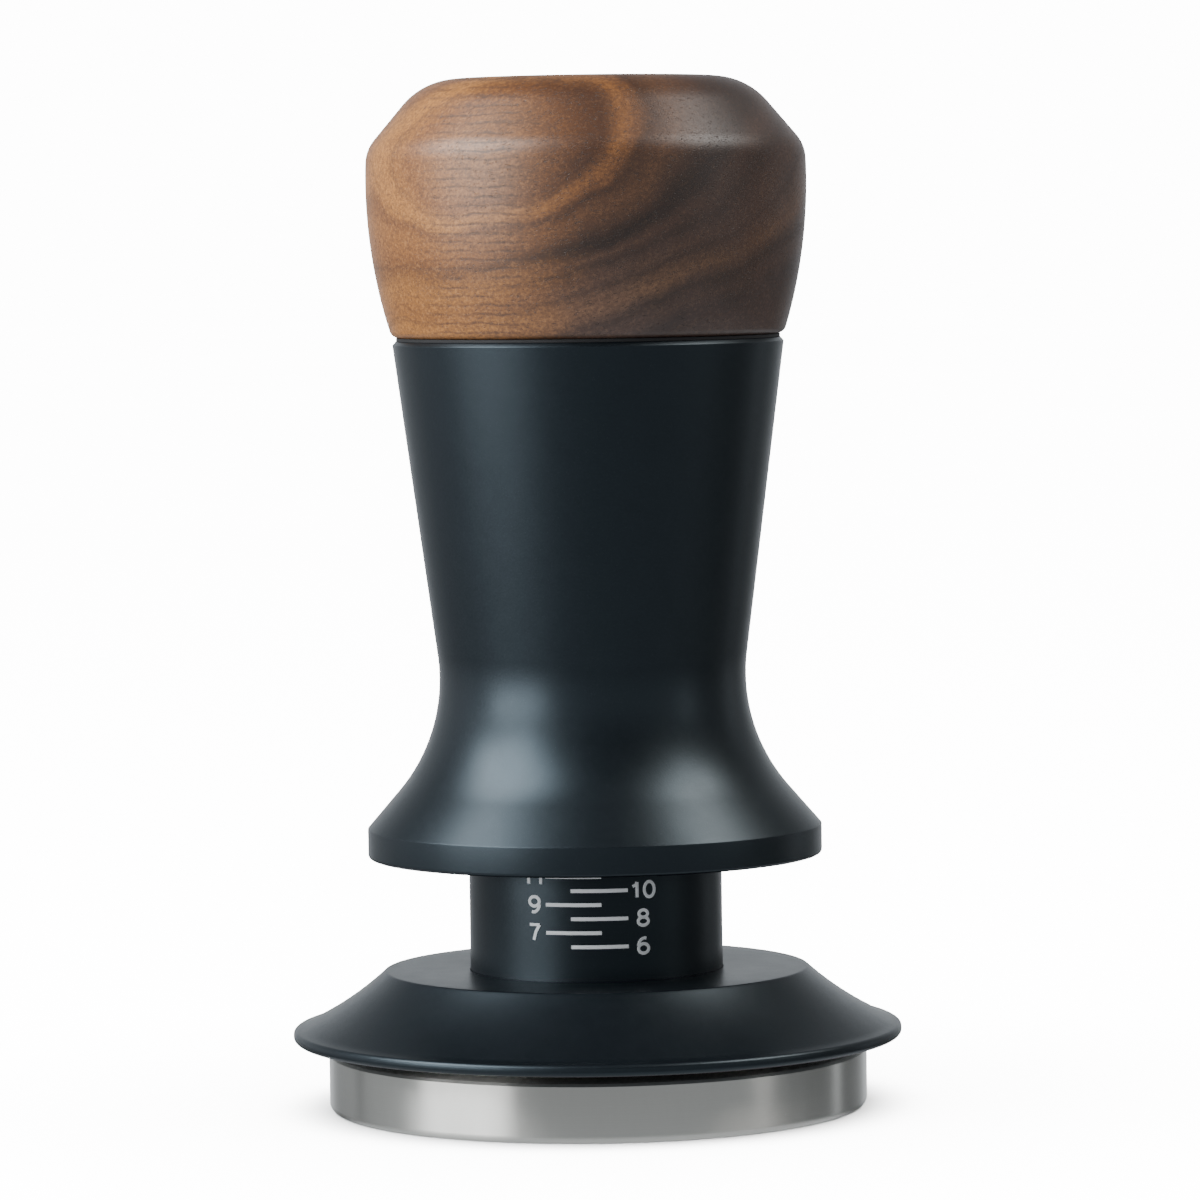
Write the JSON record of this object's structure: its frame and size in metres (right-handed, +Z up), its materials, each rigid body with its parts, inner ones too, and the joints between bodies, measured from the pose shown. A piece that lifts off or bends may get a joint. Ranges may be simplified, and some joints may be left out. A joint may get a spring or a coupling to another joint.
{
  "type": "espresso tamper",
  "caption": "Sprung self-levelling espresso tamper: flat steel base, sliding levelling disc with a depth scale, waisted black handle and a turned walnut knob.",
  "frame": {"origin": "middle of the steel base's flat underside, where it rests", "axes": "+Z up along the turning axis from the base to the knob; the depth scale faces -Y; +X is to the viewer's right when facing the scale"},
  "size_m": [0.066, 0.066, 0.1112],
  "materials": {
    "base_steel": "fine turned stainless steel",
    "shaft_steel": "ground stainless steel",
    "washer_steel": "plain steel washer",
    "spring_steel": "oiled spring steel",
    "black_screw": "blackened steel",
    "disc_black": "satin black anodised",
    "sleeve_black": "satin black anodised",
    "barrel_black": "satin black anodised",
    "scale_infill": "filled engraving",
    "bush_bronze": "sintered bronze bush",
    "guide_plastic": "natural acetal",
    "stop_rubber": "urethane stop",
    "seal_rubber": "black gasket",
    "bare_aluminium": "machined",
    "walnut": "oiled walnut"
  },
  "bodies": {
    "tamper_base": {"steel_base": "base_steel", "centre_shaft": "shaft_steel", "shaft_key": "shaft_steel", "level_stop_washer": "washer_steel", "shaft_circlip": "spring_steel", "retaining_collar": "washer_steel", "retaining_screw": "black_screw"},
    "levelling": {"levelling_disc": "disc_black", "disc_bush": "bush_bronze", "scale_sleeve": "sleeve_black", "scale_marks": "scale_infill", "sleeve_screws": "black_screw", "levelling_spring": "spring_steel"},
    "spring_pack": {"thrust_washer": "washer_steel", "main_spring": "spring_steel"},
    "handle": {"barrel": "barrel_black", "guide_ring": "guide_plastic", "handle_bush": "bush_bronze", "stop_ring": "stop_rubber", "upper_spring_seat": "washer_steel", "preload_plug": "bare_aluminium", "knob_stud": "shaft_steel", "knob_washer": "seal_rubber", "knob_insert": "bare_aluminium", "insert_screws": "black_screw", "wood_knob": "walnut"}
  },
  "joints": [
    {"name": "disc_lift", "type": "slide", "parent": "tamper_base", "child": "levelling", "axis": [0, 0, 1], "range_m": [0, 0.008], "stiffness_N_per_m": 320, "deforming": ["levelling_spring"]},
    {"name": "handle_spin", "type": "hinge", "parent": "tamper_base", "child": "spring_pack", "pos_m": [0, 0, 0.0575], "axis": [0, 0, 1], "continuous": true},
    {"name": "handle_press", "type": "slide", "parent": "spring_pack", "child": "handle", "axis": [0, 0, -1], "range_m": [0, 0.0038], "stiffness_N_per_m": 16000, "deforming": ["main_spring"]}
  ]
}
